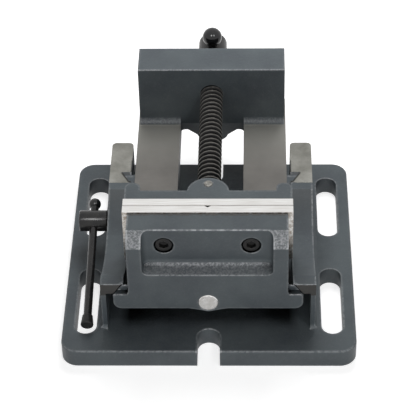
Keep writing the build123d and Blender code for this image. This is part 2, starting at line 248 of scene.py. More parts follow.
# Colours, as linear red, green and blue
paint_dark = (0.052, 0.063, 0.072, 1)
paint_light = (0.080, 0.096, 0.104, 1)
# Light paint of the specks and of the painted edge highlight towards the rear, then the brighter
# painted edge highlight at the front
paint_chip_and_highlight = (0.36, 0.37, 0.38, 1)
painted_edge_highlight = (0.70, 0.72, 0.74, 1)
# Painted shade in gaps, corners, under the vise body and on the cheeks' rims, and the dark joint
# line of the dovetail
shade_and_joint_black = (0.003, 0.003, 0.003, 1)
# Lighter rough casting, partly a painted highlight
bare_casting_and_highlight = (0.42, 0.43, 0.45, 1)
way_dark = (0.155, 0.148, 0.138, 1)
way_light = (0.205, 0.196, 0.182, 1)
milled_dark = (0.20, 0.198, 0.175, 1)
milled_light = (0.36, 0.355, 0.325, 1)
# Painted shade: darker milled iron for the cheeks' forward faces
shaded_front_iron = (0.045, 0.044, 0.042, 1)
crest_brown = (0.10, 0.095, 0.087, 1)
ground_light = (0.86, 0.86, 0.85, 1)
ground_dark = (0.62, 0.60, 0.57, 1)
tarnish = (0.26, 0.21, 0.16, 1)
# Grey of the seam between the jaw plates, and painted shade on the guide rod's ends
seam_grey_and_end_shade = (0.28, 0.27, 0.26, 1)
tarnish_dark = (0.035, 0.026, 0.018, 1)
oxide_dark = (0.010, 0.010, 0.011, 1)
oxide_light = (0.022, 0.021, 0.020, 1)
knob_black = (0.006, 0.006, 0.007, 1)
brass_light = (0.62, 0.45, 0.19, 1)
brass_dark = (0.40, 0.27, 0.10, 1)


def centre_of(node):
    low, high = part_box(node)
    return (low + high) / 2


def new_node(tree, kind, inputs=None, **settings):
    """A node with its settings and inputs; an input is a value or another node's output."""
    node = tree.nodes.new(kind)
    for key, value in settings.items():
        setattr(node, key, value)
    for key, value in (inputs or {}).items():
        socket = node.inputs[key]
        if isinstance(value, bpy.types.NodeSocket):
            tree.links.new(value, socket)
        else:
            socket.default_value = value
    return node


def arith(tree, operation, first, second=0.0, third=0.0):
    inputs = {0: first, 1: second, 2: third}
    return new_node(tree, "ShaderNodeMath", inputs, operation=operation).outputs[0]


def product(tree, *values):
    found = values[0]
    for value in values[1:]:
        found = arith(tree, "MULTIPLY", found, value)
    return found


def clamped(tree, value, start, full):
    """0 up to start, 1 from full on and even between them; start may be the higher one."""
    inputs = {"Value": value, "From Min": start, "From Max": full}
    return new_node(tree, "ShaderNodeMapRange", inputs).outputs[0]


def blend(tree, share, first, second):
    """The first colour where the share is 0 and the second where it is 1."""
    inputs = {0: share, 6: first, 7: second}
    return new_node(tree, "ShaderNodeMix", inputs, data_type="RGBA").outputs[2]


def blend_value(tree, share, first, second):
    inputs = {"Value": share, "To Min": first, "To Max": second}
    return new_node(tree, "ShaderNodeMapRange", inputs).outputs[0]


def raised(tree, height, depth, strength=1.0, normal=None):
    """Fine relief from a height of 0 to 1; depth is in metres."""
    inputs = {"Height": height, "Distance": depth, "Strength": strength}
    if normal is not None:
        inputs["Normal"] = normal
    return new_node(tree, "ShaderNodeBump", inputs).outputs[0]


def open_sky(tree, reach, samples=sky_samples, inside=False):
    """The share of open sky within reach, seen from the surface or from under it."""
    shade = new_node(tree, "ShaderNodeAmbientOcclusion", {"Distance": reach},
                     samples=samples, inside=inside)
    return shade.outputs["AO"]


def crevices(tree, reach, sky):
    """1 deep in a gap or corner and 0 in the open."""
    return clamped(tree, open_sky(tree, reach), *sky)


def open_edges(tree, reach, samples=sky_samples):
    """1 on the outer edges of a piece and 0 on its faces and in its inner corners."""
    return clamped(tree, open_sky(tree, reach, samples, inside=True), *edge_sky)


def forward_edges(tree, width):
    """1 where a rounded edge would face forward and up, less where it faces another way."""
    rounded = new_node(tree, "ShaderNodeBevel", {"Radius": width}, samples=edge_samples)
    compared = new_node(tree, "ShaderNodeVectorMath", {0: rounded.outputs[0], 1: forward_and_up},
                        operation="DOT_PRODUCT")
    turn = compared.outputs["Value"]
    strength = blend_value(tree, clamped(tree, turn, *bright_turn), dull_edge, 1.0)
    return product(tree, strength, clamped(tree, turn, *lit_turn))


class Finish:
    """A material with its shader, the place on the piece and the way that the face looks."""

    def __init__(self, name):
        self.material = bpy.data.materials.new(name)
        self.material.use_nodes = True
        self.tree = self.material.node_tree
        self.tree.nodes.clear()
        self.shader = self.tree.nodes.new("ShaderNodeBsdfPrincipled")
        out = self.tree.nodes.new("ShaderNodeOutputMaterial")
        self.tree.links.new(self.shader.outputs[0], out.inputs["Surface"])
        self.place = self.tree.nodes.new("ShaderNodeTexCoord").outputs["Object"]
        parts = new_node(self.tree, "ShaderNodeSeparateXYZ", {0: self.place})
        self.x, self.y, self.z = parts.outputs
        facing = self.tree.nodes.new("ShaderNodeNewGeometry").outputs["True Normal"]
        local = new_node(self.tree, "ShaderNodeVectorTransform", {0: facing},
                         vector_type="NORMAL", convert_from="WORLD", convert_to="OBJECT")
        parts = new_node(self.tree, "ShaderNodeSeparateXYZ", {0: local.outputs[0]})
        self.facing_x, self.facing_y, self.facing_z = parts.outputs

    def set(self, **values):
        """Sets the shader's sockets: a number, a colour or another node's output."""
        for key, value in values.items():
            socket = self.shader.inputs[key.replace("_", " ")]
            if isinstance(value, bpy.types.NodeSocket):
                self.tree.links.new(value, socket)
            else:
                socket.default_value = value

    def noise(self, lumps, detail=3.0, roughness=0.55, place=None):
        """Cloudy noise from 0 to 1, in lumps to the metre."""
        inputs = {"Vector": self.place if place is None else place,
                  "Scale": lumps, "Detail": detail, "Roughness": roughness}
        return new_node(self.tree, "ShaderNodeTexNoise", inputs).outputs[0]

    def marks(self, lumps):
        """Noise drawn out into tool marks, from its lumps to the metre along each axis."""
        drawn = new_node(self.tree, "ShaderNodeVectorMath", {0: self.place, 1: lumps},
                         operation="MULTIPLY")
        return self.noise(lumps=1.0, detail=2.0, place=drawn.outputs[0])

    def both(self, *masks):
        return product(self.tree, *masks)

    def above(self, value, limit):
        return arith(self.tree, "GREATER_THAN", value, limit)

    def below(self, value, limit):
        return arith(self.tree, "LESS_THAN", value, limit)

    def between(self, value, low, high):
        return self.both(self.above(value, low), self.below(value, high))

    def size_of(self, value):
        return arith(self.tree, "ABSOLUTE", value)

    def radius_about(self, x, z):
        """The distance from an axis along Y."""
        across = arith(self.tree, "SUBTRACT", self.x, x)
        upward = arith(self.tree, "SUBTRACT", self.z, z)
        squares = arith(self.tree, "ADD", self.both(across, across), self.both(upward, upward))
        return arith(self.tree, "SQRT", squares)

    def shades(self, noise, split, first, second):
        """Two colours parted by a noise."""
        return blend(self.tree, clamped(self.tree, noise, *split), first, second)

    def over(self, colour, mask, top, share=1.0):
        """The colour with another laid over it where the mask is, up to the given share."""
        if share < 1.0:
            mask = self.both(mask, share)
        return blend(self.tree, mask, colour, top)


def bare_iron_of_body(f):
    """The ground tops of the two ways, with painted light that makes them lighter towards the rear
    block.
    """
    tops = f.both(f.above(f.facing_z, square_on), f.between(f.z, *way_level),
                  f.between(f.size_of(f.x), *way_span), f.above(f.y, way_front))
    iron = f.shades(f.noise(lumps=60.0), wide_split, way_dark, way_light)
    grinding = clamped(f.tree, f.marks(way_marks), *high_split)
    iron = f.over(iron, grinding, way_dark, share=0.3)
    # Painted light: lighter milled iron laid over the ways towards the rear block.
    return tops, f.over(iron, clamped(f.tree, f.y, *way_painted_light), milled_light, share=0.9)


def bare_iron_of_base(f):
    """The milled tops at the rear of the cheeks and the dark strip at the front of each, whose
    darker iron is painted shade.
    """
    tree = f.tree
    ragged = f.both(f.noise(lumps=500.0), milled_ragged)
    along = arith(tree, "ADD", f.y, ragged)
    height = arith(tree, "ADD", f.z, ragged)
    tops = f.both(f.above(f.facing_z, square_on), f.above(f.z, cheek_level),
                  f.above(along, milled_front))
    shaded_fronts = f.both(f.below(f.facing_y, -square_on), f.above(height, strip_foot),
                    f.below(f.y, strip_back))
    pits = clamped(tree, f.noise(lumps=1100.0, detail=2.0), *pit_split)
    dovetail = f.both(open_edges(tree, dovetail_edge), f.below(f.size_of(f.x), dovetail_reach),
                      f.between(f.y, *dovetail_span))
    iron = f.shades(f.noise(lumps=90.0, detail=4.0), wide_split, milled_dark, milled_light)
    iron = f.over(iron, pits, way_dark, share=0.5)
    # Painted shade: the milled strips on the cheeks' forward faces get a darker iron.
    iron = f.over(iron, shaded_fronts, shaded_front_iron)
    iron = f.over(iron, dovetail, shade_and_joint_black, share=0.9)
    return arith(tree, "MAXIMUM", tops, shaded_fronts), iron


def rough_and_highlit_faces_of_body(f):
    """The brows of the fixed jaw, the sill of its recess and the roots of the rear block, made
    lighter: partly rough bare casting, partly painted light and highlight; on the roots only a
    painted highlight.
    """
    tree = f.tree
    brows = f.both(f.between(f.facing_z, *brow_rise), f.below(f.facing_y, brow_lean),
                   f.above(f.z, brow_foot))
    sill = f.both(f.below(f.size_of(f.x), sill_reach), f.between(f.z, *sill_height),
                  f.above(f.facing_z, sill_rise), f.below(f.y, sill_back))
    at_wall = blend_value(tree, clamped(tree, f.y, *sill_wall), *sill_share)
    roots = f.both(f.between(f.z, *root_height), f.between(f.y, *root_span))
    found = arith(tree, "ADD", f.both(brows, brow_share), f.both(sill, at_wall))
    return arith(tree, "ADD", found, f.both(roots, root_share))


def dirt_at_plate(f, sand):
    """The dark line, ragged like the sand, where the fixed jaw meets its plate.

    Gives where it is, its colour and its share, as every mark laid over the paint does.
    """
    line = f.both(f.between(f.y, *plate_line), f.above(f.z, plate_line_foot),
                  clamped(f.tree, sand, *dirt_split))
    return line, tarnish_dark, dirt_share


def rim_painted_shade(f, _):
    """Painted shade on the upper part of the cheeks' concave rims, where they face forward; it has
    no ragged edge.
    """
    rim = f.both(clamped(f.tree, f.z, *rim_height), f.below(f.facing_y, rim_lean),
                 f.above(f.y, rim_front))
    return rim, shade_and_joint_black, rim_shade_share


def toe_pockets(f):
    """The pockets in the cheeks' front ends, whose edges get neither the painted edge highlight nor
    chipped paint.
    """
    return f.both(f.between(f.z, *pocket_height), f.below(f.size_of(f.x), pocket_reach),
                  f.below(f.y, pocket_back))


def painted_iron(name, bare_iron=None, rough_and_highlit_faces=None, stain=None, without_edge_highlight=None):
    """Blue-grey enamel on rough cast iron, with bare iron where the casting is machined, a painted
    highlight on edges that face forward and painted shade in gaps, corners and under the front of
    the vise body.

    The other arguments are functions of the finish that find where it differs.
    """
    f = Finish(name)
    tree = f.tree
    clouds = f.noise(lumps=38.0, detail=4.0)
    specks = f.noise(lumps=900.0, detail=2.0)
    sand = f.noise(lumps=420.0, detail=4.0, roughness=0.62)
    colour = f.shades(clouds, even_split, paint_dark, paint_light)
    colour = f.over(colour, clamped(tree, specks, *speck_split), paint_chip_and_highlight, share=0.06)
    # Lighter patches on the given faces: partly rough bare casting, partly painted light and
    # highlight.
    if rough_and_highlit_faces is not None:
        patches = clamped(tree, f.noise(lumps=800.0, roughness=0.7), *patch_split)
        patches = blend_value(tree, patches, *patch_share)
        colour = f.over(colour, f.both(rough_and_highlit_faces(f), patches), bare_casting_and_highlight)
    # A stain is a mark laid over the paint: dirt at the plate on the body, painted shade on the
    # rims of the base.
    if stain is not None:
        colour = f.over(colour, *stain(f, sand))

    # Painted highlight: edges that face forward and up get a lighter colour, brighter towards the
    # front and broken up like chipped paint, except in the given pockets.
    edges = f.both(open_edges(tree, edge_width), forward_edges(tree, edge_round))
    if without_edge_highlight is not None:
        edges = f.both(edges, arith(tree, "SUBTRACT", 1.0, without_edge_highlight(f)))
    chips_and_highlight = blend_value(tree, clamped(tree, sand, *chip_and_highlight_split), *chip_and_highlight_share)
    chip_and_highlight_colour = blend(tree, clamped(tree, f.y, *edge_highlight_from_y), paint_chip_and_highlight, painted_edge_highlight)
    colour = f.over(colour, f.both(edges, chips_and_highlight), chip_and_highlight_colour)

    bare = 0.0
    tooling = sand
    if bare_iron is not None:
        bare, iron = bare_iron(f)
        colour = f.over(colour, bare, iron)
        tooling = f.marks(way_marks)

    # Painted shade: darker in gaps and corners, and a painted shadow on up-facing faces under the
    # front of the vise body; the specular fades there as well.
    painted_shadow_under_body = f.both(crevices(tree, shade_reach, shade_sky), f.above(f.facing_z, shaded_rise),
                        clamped(tree, f.y, *shade_from_y),
                        clamped(tree, f.size_of(f.x), *shade_from_x))
    gap = arith(tree, "MAXIMUM", crevices(tree, gap_reach, gap_sky), painted_shadow_under_body)
    colour = f.over(colour, gap, shade_and_joint_black)

    painted = arith(tree, "SUBTRACT", 1.0, bare)
    height = arith(tree, "ADD", f.both(painted, sand), f.both(bare, f.both(tooling, 0.12)))
    relief = raised(tree, height, depth=0.32 * MM, strength=0.6)
    rough = blend_value(tree, clouds, 0.42, 0.58)
    f.set(Base_Color=colour, Metallic=f.both(bare, 0.35),
          Roughness=arith(tree, "ADD", rough, f.both(bare, 0.06)),
          Specular_IOR_Level=blend_value(tree, gap, 0.5, 0.0),
          Normal=raised(tree, clouds, depth=1.6 * MM, strength=0.25, normal=relief))
    return f.material


def ground_steel(name, seam_y):
    """Hardened jaw plates: bright ground faces, stained ends and a grey seam between them."""
    f = Finish(name)
    tree = f.tree
    grinding = f.marks(plate_marks)
    stain = f.noise(lumps=260.0, detail=5.0, roughness=0.65)
    patches = clamped(tree, f.noise(lumps=600.0, detail=4.0, roughness=0.7), *stain_split)
    ends = arith(tree, "MAXIMUM", f.above(f.size_of(f.facing_x), plate_end_on),
                 f.below(f.facing_y, -plate_end_on))
    at_seam = f.below(f.size_of(arith(tree, "SUBTRACT", f.y, seam_y)), seam_half)
    colour = f.shades(grinding, late_split, ground_light, ground_dark)
    colour = f.over(colour, f.both(ends, patches), tarnish, share=0.85)
    colour = f.over(colour, at_seam, seam_grey_and_end_shade, share=0.75)
    f.set(Base_Color=colour, Metallic=1.0, Roughness=blend_value(tree, stain, 0.22, 0.42),
          Normal=raised(tree, grinding, depth=0.03 * MM, strength=0.4))
    return f.material


def turned_steel(name, middle):
    """Bright bar stock along Y with turning rings on its ends, which are painted darker as painted
    shade.
    """
    f = Finish(name)
    tree = f.tree
    on_end = f.above(f.size_of(f.facing_y), square_on)
    rings = arith(tree, "SINE", f.both(f.radius_about(middle.x, middle.z), ring_phase))
    height = arith(tree, "ADD", f.both(on_end, f.both(rings, 0.25)), f.marks(rod_marks))
    smudge = f.noise(lumps=300.0)
    colour = f.shades(smudge, late_split, ground_light, ground_dark)
    # Painted shade: a darker grey laid over the end faces.
    colour = f.over(colour, on_end, seam_grey_and_end_shade, share=0.56)
    f.set(Base_Color=colour, Metallic=1.0, Roughness=blend_value(tree, smudge, 0.2, 0.38),
          Normal=raised(tree, height, depth=0.03 * MM, strength=0.35))
    return f.material


def dull_steel(name):
    """A plain pin, hammered and a little stained on its end."""
    f = Finish(name)
    stain = f.noise(lumps=700.0, detail=4.0)
    f.set(Base_Color=f.shades(stain, even_split, way_dark, milled_light), Metallic=0.8,
          Roughness=blend_value(f.tree, stain, 0.35, 0.6),
          Normal=raised(f.tree, stain, depth=0.3 * MM, strength=0.4))
    return f.material


def black_oxide(name, sheen=(0.32, 0.5), shine=0.28, thread=None):
    """Oil-blackened steel; sheen is its least and most roughness.

    thread is the height of a thread's axis, its crest radius and its end along Y: its
    crests are worn brown and its hollows shine less.
    """
    f = Finish(name)
    tree = f.tree
    bloom = f.noise(lumps=240.0, detail=4.0)
    colour = f.shades(bloom, late_split, oxide_dark, oxide_light)
    colour = f.over(colour, open_edges(tree, oxide_edge, fine_samples), crest_brown, share=0.35)
    if thread is not None:
        axis_z, crest, thread_end = thread
        on_thread = f.below(f.y, thread_end)
        radius = f.radius_about(0.0, axis_z)
        worn = clamped(tree, radius, *(crest - depth for depth in crest_worn))
        hollow = clamped(tree, radius, *(crest - depth for depth in hollow_dull))
        colour = f.over(colour, f.both(worn, on_thread), crest_brown)
        shine = blend_value(tree, f.both(hollow, on_thread), shine, 0.05)
    f.set(Base_Color=colour, Metallic=0.2, Roughness=blend_value(tree, bloom, *sheen),
          Specular_IOR_Level=shine,
          Normal=raised(tree, f.marks(scratch_marks), depth=0.03 * MM, strength=0.35))
    return f.material


def knob_plastic(name):
    """Glossy black moulded knob with faint handling marks."""
    f = Finish(name)
    smears = f.noise(lumps=200.0, detail=4.0)
    pits = f.noise(lumps=1500.0, detail=2.0)
    f.set(Base_Color=f.shades(smears, high_split, knob_black, oxide_dark), IOR=1.47,
          Roughness=blend_value(f.tree, smears, 0.04, 0.12),
          Normal=raised(f.tree, pits, depth=0.01 * MM, strength=0.3))
    return f.material


def brass(name):
    """Plain turned brass, a little dulled."""
    f = Finish(name)
    dull = f.noise(lumps=400.0, detail=4.0)
    f.set(Base_Color=f.shades(dull, even_split, brass_light, brass_dark), Metallic=1.0,
          Roughness=blend_value(f.tree, dull, 0.25, 0.45),
          Normal=raised(f.tree, dull, depth=0.04 * MM, strength=0.4))
    return f.material


def placed_in_scene(name, data):
    thing = bpy.data.objects.new(name, data)
    bpy.context.scene.collection.objects.link(thing)
    return thing


def finish_piece(mesh, name, body, material, node, angle=smooth_angle):
    """Makes an object of a mesh with its place in the mesh, and sets it on its body.

    It stands for the CAD node. With angle None the mesh keeps the shading that it has.
    """
    mesh.materials.clear()
    mesh.materials.append(material)
    if angle is not None:
        mesh.shade_smooth()
        mesh.set_sharp_from_angle(angle=math.radians(angle))
    piece = placed_in_scene(name, mesh)
    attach(piece, body)
    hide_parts(node)


def mesh_from(bm, name):
    """A mesh of the finished bmesh, which is freed."""
    mesh = bpy.data.meshes.new(name)
    bm.to_mesh(mesh)
    bm.free()
    return mesh


def from_modifiers(holder, name):
    """The plain mesh that an object with modifiers shows; the holder is removed."""
    bpy.context.view_layer.update()
    graph = bpy.context.evaluated_depsgraph_get()
    mesh = bpy.data.meshes.new_from_object(holder.evaluated_get(graph))
    mesh.name = name
    bpy.data.objects.remove(holder)
    return mesh


def merged_copy(node):
    """A copy of a CAD node's mesh with its loose triangles joined and flat areas made whole."""
    bm = bmesh.new()
    bm.from_mesh(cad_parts[node].data)
    bmesh.ops.remove_doubles(bm, verts=bm.verts, dist=weld_distance)
    bmesh.ops.dissolve_limit(bm, angle_limit=math.radians(flat_angle), verts=bm.verts,
                             edges=bm.edges)
    bmesh.ops.recalc_face_normals(bm, faces=bm.faces)
    return mesh_from(bm, node + "_copy")


def rounded_piece(node, body, material, width):
    """Stands for a CAD node, with its sharp edges rounded."""
    holder = placed_in_scene(node + "_holder", merged_copy(node))
    bevel = holder.modifiers.new("edge rounding", "BEVEL")
    bevel.width = width
    bevel.segments = round_steps
    bevel.limit_method = "ANGLE"
    bevel.angle_limit = math.radians(round_from_angle)
    bevel.use_clamp_overlap = True
    bevel.miter_outer = "MITER_ARC"
    weigh = holder.modifiers.new("flat faces stay flat", "WEIGHTED_NORMAL")
    weigh.keep_sharp = True
    mesh = from_modifiers(holder, node + "_rounded")
    finish_piece(mesh, node + "_cast", body, material, node, angle=None)


def ring_rows(bm, rows, segments, point):
    """Skins closed rings of points; a ring of radius 0 becomes one point."""
    previous = None
    for row in rows:
        if row[0] == 0:
            ring = [bm.verts.new(point(row, 0))] * segments
        else:
            ring = [bm.verts.new(point(row, i * TURN / segments)) for i in range(segments)]
        if previous is not None:
            for i in range(segments):
                j = (i + 1) % segments
                corners = [previous[i], previous[j], ring[j], ring[i]]
                bm.faces.new(dict.fromkeys(corners))
        previous = ring
    bmesh.ops.recalc_face_normals(bm, faces=bm.faces)


def turned_mesh(name, profile, origin, axis, segments=round_segments):
    """A solid of revolution from (radius, distance along the axis) pairs."""
    ahead = Vector(axis).normalized()
    side = ahead.orthogonal().normalized()
    up = ahead.cross(side)

    def point(row, angle):
        radius, along = row
        outward = side * math.cos(angle) + up * math.sin(angle)
        return Vector(origin) + ahead * along + outward * radius

    bm = bmesh.new()
    ring_rows(bm, profile, segments, point)
    return mesh_from(bm, name)


def rounded_profile(radius, start, end, corner):
    """A bar's half outline with a round corner at each end.

    A row just inside each corner keeps the smooth shading off the flat end.
    """
    margin = radius - corner_margin * corner
    angles = [i / corner_steps * math.pi / 2 for i in range(corner_steps + 1)]
    rows = [(0, start), (margin, start)]
    for a in angles:
        rows.append((radius - corner + corner * math.sin(a), start + corner - corner * math.cos(a)))
    for a in angles:
        rows.append((radius - corner + corner * math.cos(a), end - corner + corner * math.sin(a)))
    return rows + [(margin, end), (0, end)]


def ball_profile(radius, flat):
    """Half outline of a ball with a small flat where its bar enters."""
    start = math.asin(flat / radius)
    rows = [(0, -radius * math.cos(start))]
    for i in range(ball_steps):
        a = start + (math.pi - start) * i / ball_steps
        rows.append((radius * math.sin(a), -radius * math.cos(a)))
    return rows + [(0, radius)]


def node_group(name, sizes, counts=(), objects=()):
    """An empty geometry tree with its named inputs; gives the tree and what it is given."""
    tree = bpy.data.node_groups.new(name, "GeometryNodeTree")
    kinds = [(label, "NodeSocketFloat") for label in sizes]
    kinds += [(label, "NodeSocketInt") for label in counts]
    kinds += [(label, "NodeSocketObject") for label in objects]
    kinds.append(("Finish", "NodeSocketMaterial"))
    for label, kind in kinds:
        tree.interface.new_socket(label, in_out="INPUT", socket_type=kind)
    tree.interface.new_socket("Geometry", in_out="OUTPUT", socket_type="NodeSocketGeometry")
    return tree, tree.nodes.new("NodeGroupInput").outputs


def give_out(tree, geometry, finish):
    """Coats the geometry with its finish and makes it the tree's result."""
    coated = new_node(tree, "GeometryNodeSetMaterial", {"Geometry": geometry, "Material": finish})
    out = tree.nodes.new("NodeGroupOutput")
    tree.links.new(coated.outputs[0], out.inputs["Geometry"])


def thread_tree():
    """Geometry nodes for a round thread along Y: a grid is wound round the axis."""
    tree, given = node_group(
        "screw_thread", ("Start", "Length", "Pitch", "Crest radius", "Depth", "Axis height"),
        counts=("Columns", "Rows"))
    grid = new_node(tree, "GeometryNodeMeshGrid", {
        "Size X": 1.0, "Size Y": 1.0,
        "Vertices X": given["Rows"], "Vertices Y": given["Columns"]})
    position = tree.nodes.new("GeometryNodeInputPosition").outputs[0]
    row, column, _ = new_node(tree, "ShaderNodeSeparateXYZ", {0: position}).outputs
    along = product(tree, arith(tree, "ADD", row, 0.5), given["Length"])
    around = arith(tree, "ADD", column, 0.5)
    turns = arith(tree, "SUBTRACT", arith(tree, "DIVIDE", along, given["Pitch"]), around)
    phase = arith(tree, "SUBTRACT", arith(tree, "FRACT", turns), 0.5)
    flank = clamped(tree, arith(tree, "ABSOLUTE", phase), *flank_share)
    cut = product(tree, flank, given["Depth"])
    crest = arith(tree, "SUBTRACT", given["Crest radius"], cut)
    # The first and the last row close to a point
    first = arith(tree, "GREATER_THAN", row, -end_row)
    last = arith(tree, "LESS_THAN", row, end_row)
    radius = product(tree, crest, product(tree, first, last))
    angle = product(tree, around, TURN)
    x = product(tree, radius, arith(tree, "SINE", angle))
    z = arith(tree, "MULTIPLY_ADD", radius, arith(tree, "COSINE", angle), given["Axis height"])
    y = arith(tree, "ADD", along, given["Start"])
    spot = new_node(tree, "ShaderNodeCombineXYZ", {0: x, 1: y, 2: z}).outputs[0]
    moved = new_node(tree, "GeometryNodeSetPosition", {
        "Geometry": grid.outputs[0], "Position": spot})
    merged = new_node(tree, "GeometryNodeMergeByDistance", {
        "Geometry": moved.outputs[0], "Distance": weld_distance})
    give_out(tree, merged.outputs[0], given["Finish"])
    return tree


def pair_tree():
    """Geometry nodes that set one screw at both places of a jaw plate."""
    tree, given = node_group("screw_pair", ("Half spacing", "Height"), objects=("Screw",))
    left = product(tree, given["Half spacing"], -1.0)
    spacing = product(tree, given["Half spacing"], 2.0)
    start = new_node(tree, "ShaderNodeCombineXYZ", {0: left, 2: given["Height"]}).outputs[0]
    step = new_node(tree, "ShaderNodeCombineXYZ", {0: spacing}).outputs[0]
    line = new_node(tree, "GeometryNodeMeshLine", {
        "Count": 2, "Start Location": start, "Offset": step})
    screw = new_node(tree, "GeometryNodeObjectInfo", {"Object": given["Screw"]})
    placed = new_node(tree, "GeometryNodeInstanceOnPoints", {
        "Points": line.outputs[0], "Instance": screw.outputs["Geometry"]})
    real = new_node(tree, "GeometryNodeRealizeInstances", {0: placed.outputs[0]})
    give_out(tree, real.outputs[0], given["Finish"])
    return tree


def built_by(tree, values, name):
    """Runs a geometry tree with the given inputs and returns its mesh."""
    holder = placed_in_scene(name + "_holder", bpy.data.meshes.new(name + "_seed"))
    modifier = holder.modifiers.new("built", "NODES")
    modifier.node_group = tree
    for item in tree.interface.items_tree:
        if item.in_out == "INPUT":
            modifier[item.identifier] = values[item.name]
    return from_modifiers(holder, name)


def joined(name, meshes):
    bm = bmesh.new()
    for mesh in meshes:
        bm.from_mesh(mesh)
    bmesh.ops.recalc_face_normals(bm, faces=bm.faces)
    return mesh_from(bm, name)


def bored(mesh, radius, origin, axis, half_length, name):
    """The mesh with a round hole through it."""
    profile = [(0, -half_length), (radius, -half_length), (radius, half_length), (0, half_length)]
    drill = placed_in_scene("drill", turned_mesh("drill", profile, origin, axis, hole_segments))
    blank = placed_in_scene("blank", mesh)
    cut = blank.modifiers.new("hole", "BOOLEAN")
    cut.object = drill
    cut.solver = "EXACT"
    result = from_modifiers(blank, name)
    bpy.data.objects.remove(drill)
    return result


def make_lead_screw(material, head_front):
    """The screw with its thread, the plain tip inside the jaw and the head with the bar's hole."""
    low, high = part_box("lead_screw")
    height = (low.z + high.z) / 2
    axis = (0, 0, height), (0, 1, 0)
    nose_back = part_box("movable_jaw")[1].y
    length = head_front - nose_back + thread_overrun
    thread = built_by(thread_tree(), {
        "Start": nose_back + thread_start, "Length": length, "Pitch": screw_pitch,
        "Crest radius": crest_radius, "Depth": thread_depth, "Axis height": height,
        "Columns": thread_columns, "Rows": int(length / screw_pitch * rows_per_pitch),
        "Finish": material}, "thread")

    groove_middle = centre_of("screw_retaining_pin").y
    groove_front, groove_back = groove_middle - groove_half, groove_middle + groove_half
    tip_end = nose_back + tip_overrun
    tip = turned_mesh("tip", [
        (0, low.y), (tip_radius - tip_chamfer, low.y), (tip_radius, low.y + tip_chamfer),
        (tip_radius, groove_front), (groove_radius, groove_front),
        (groove_radius, groove_back), (tip_radius, groove_back),
        (tip_radius, tip_end), (0, tip_end)], *axis)

    head_radius = (high.x - low.x) / 2
    profile = rounded_profile(head_radius, head_front, high.y, head_chamfer)
    head = turned_mesh("head", profile, *axis, head_segments)
    middle = (0, centre_of("handle_bar").y, height)
    head = bored(head, bar_hole_radius, middle, (0, 0, 1), 2 * head_radius, "head_bored")
    finish_piece(joined("lead_screw_threaded", [thread, tip, head]), "lead_screw_threaded",
                 "lead_screw_body", material, "lead_screw", crisp_angle)


def make_lock_screw(material):
    """The round head with the bar's hole, and the shank that goes through the cheek."""
    low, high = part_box("lock_screw")
    middle = centre_of("lock_screw")
    middle.x = centre_of("lock_bar").x
    head_inner = 2 * middle.x - low.x
    head_radius = (high.y - low.y) / 2
    profile = rounded_profile(head_radius, low.x, head_inner, lock_head_chamfer)[:-1]
    profile += [(lock_shank_radius, head_inner), (lock_shank_radius, high.x), (0, high.x)]
    whole = turned_mesh("lock_screw_turned", profile, (0, middle.y, middle.z), (1, 0, 0),
                        head_segments)
    drop = math.radians(lock_bar_drop)
    along_bar = (0, math.cos(drop), math.sin(drop))
    whole = bored(whole, lock_hole_radius, middle, along_bar, 2 * head_radius, "lock_screw_bored")
    finish_piece(whole, "lock_screw_turned", "lock_screw_body", material,
                 "lock_screw", crisp_angle)


def socket_head(name, radius, face_y, way, length):
    """A cap screw along Y with a knurled head and a hexagon socket, at X = 0, Z = 0.

    It runs from its face towards the rear where the way is 1 and to the front where it is -1.
    """
    seat = plate_screw_head
    shank = plate_screw_shank
    bevel = plate_screw_bevel
    half = socket_across / 2
    # Each row is radius, distance from the face, share of hexagon and share of knurl
    rows = [
        (0, length, 0, 0),
        (shank, length, 0, 0),
        (shank, seat, 0, 0),
        (radius - bevel, seat, 0, 0),
        (radius, seat - bevel, 0, 1),
        (radius, 1.6 * bevel, 0, 1),
        (radius - 0.5 * bevel, 0.4 * bevel, 0, 0),
        (radius - 1.4 * bevel, 0.0, 0, 0),
        (half * socket_mouth, 0.0, 0, 0),
        (half, socket_lead, 1, 0),
        (half, socket_depth, 1, 0),
        (0, socket_depth + half * drill_point, 0, 0),
    ]

    def point(row, angle):
        reach, depth, hexagon, knurl = row
        sixth = TURN / 6
        to_flat = 1 / math.cos((angle + sixth / 2) % sixth - sixth / 2)
        reach *= 1 + hexagon * (to_flat - 1)
        reach -= knurl * knurl_height * (0.5 + 0.5 * math.cos(knurl_count * angle))
        return Vector((reach * math.cos(angle), face_y + way * depth, reach * math.sin(angle)))

    bm = bmesh.new()
    ring_rows(bm, rows, knurl_count * points_per_knurl, point)
    return mesh_from(bm, name)


def make_plate_screws(tree, node, body, heads_in_front, material):
    """The two screws that stand for a CAD node of plate screws."""
    low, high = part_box(node)
    radius = (high.z - low.z) / 2
    way = 1 if heads_in_front else -1
    face_y = low.y if heads_in_front else high.y
    one = placed_in_scene("one_screw", socket_head(
        "one_screw", radius, face_y, way, high.y - low.y))
    mesh = built_by(tree, {
        "Screw": one, "Half spacing": high.x - radius, "Height": (low.z + high.z) / 2,
        "Finish": material}, node + "_detailed")
    bpy.data.objects.remove(one)
    finish_piece(mesh, node + "_detailed", body, material, node, crisp_angle)


def make_handle_balls(material):
    """The two balls, each seated on an end of the handle bar."""
    bar_low, bar_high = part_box("handle_bar")
    for node, outward, end in (("handle_ball_upper", 1, bar_high.z),
                               ("handle_ball_lower", -1, bar_low.z)):
        low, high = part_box(node)
        radius = (high.x - low.x) / 2
        centre = ((low.x + high.x) / 2, (low.y + high.y) / 2, end)
        profile = ball_profile(radius, ball_neck)
        mesh = turned_mesh(node + "_smooth", profile, centre, (0, 0, outward))
        finish_piece(mesh, node + "_smooth", "screw_handle", material, node)


